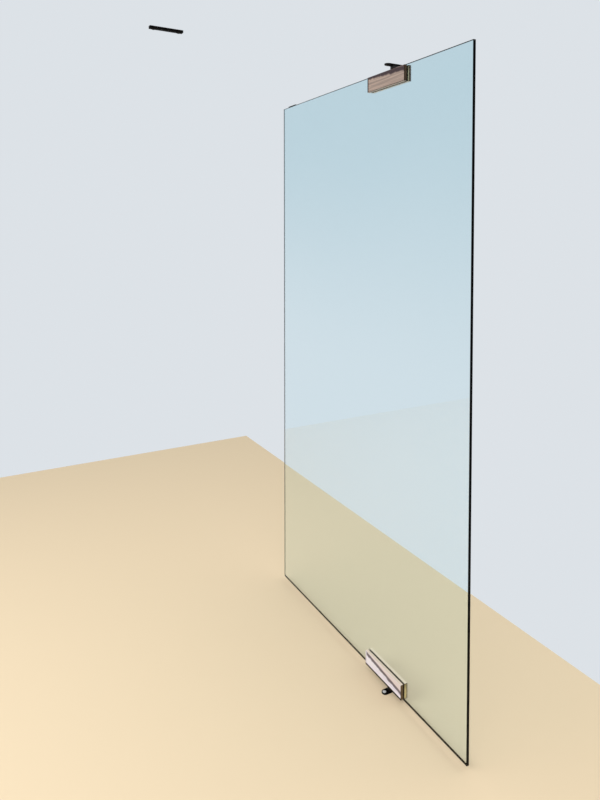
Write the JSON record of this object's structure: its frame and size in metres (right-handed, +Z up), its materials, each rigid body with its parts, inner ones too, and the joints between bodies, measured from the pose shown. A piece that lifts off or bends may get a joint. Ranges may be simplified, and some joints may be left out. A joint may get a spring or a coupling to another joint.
{
  "type": "glass entrance door",
  "caption": "Frameless clear glass pivot door leaf with a patch fitting in its bottom and top edges, floor and head pivot plates and a magnet strip with its strike plate.",
  "frame": {"origin": "on the pivot axis at the finished floor, under the floor plate", "axes": "+Z up along the pivot axis, X along the wall with the strike plate towards -X, +Y along the long side of the leaf as it stands open"},
  "size_m": [0.937, 1.326, 2.366],
  "materials": {
    "clear_glass": "clear float glass, flat polished edges",
    "satin_nickel": "warm satin, fine grain along the length",
    "bronze_anodised": "brown anodised casting",
    "bright_steel": "turned and ground",
    "black_oxide_steel": "turned, black oxide",
    "bronze": "plain bearing bronze",
    "fibre": "pressed fibre sheet",
    "black_paint": "black, semi-matt",
    "magnet_rubber": "dark, matt"
  },
  "bodies": {
    "fixings": {"floor_plate": "black_paint", "floor_spindle": "black_oxide_steel", "thrust_washer": "black_oxide_steel", "head_plate": "black_paint", "head_pin": "black_oxide_steel", "strike_plate": "black_paint"},
    "leaf": {"glass_pane": "clear_glass", "magnet_strip": "magnet_rubber", "bottom_gasket_left": "fibre", "bottom_gasket_right": "fibre", "bottom_clamp_left": "bronze_anodised", "bottom_clamp_right": "bronze_anodised", "bottom_clamp_screws": "bright_steel", "bottom_cover_left": "satin_nickel", "bottom_cover_right": "satin_nickel", "bottom_pivot_insert": "black_oxide_steel", "bottom_pivot_bush": "bronze", "top_gasket_left": "fibre", "top_gasket_right": "fibre", "top_clamp_left": "bronze_anodised", "top_clamp_right": "bronze_anodised", "top_clamp_screws": "bright_steel", "top_cover_left": "satin_nickel", "top_cover_right": "satin_nickel", "top_pivot_insert": "black_oxide_steel", "top_pivot_bush": "bronze"}
  },
  "joints": [
    {"name": "pivot", "type": "hinge", "parent": "fixings", "child": "leaf", "pos_m": [0, 0, 0], "axis": [0, 0, 1], "range_deg": [0, 180]}
  ]
}
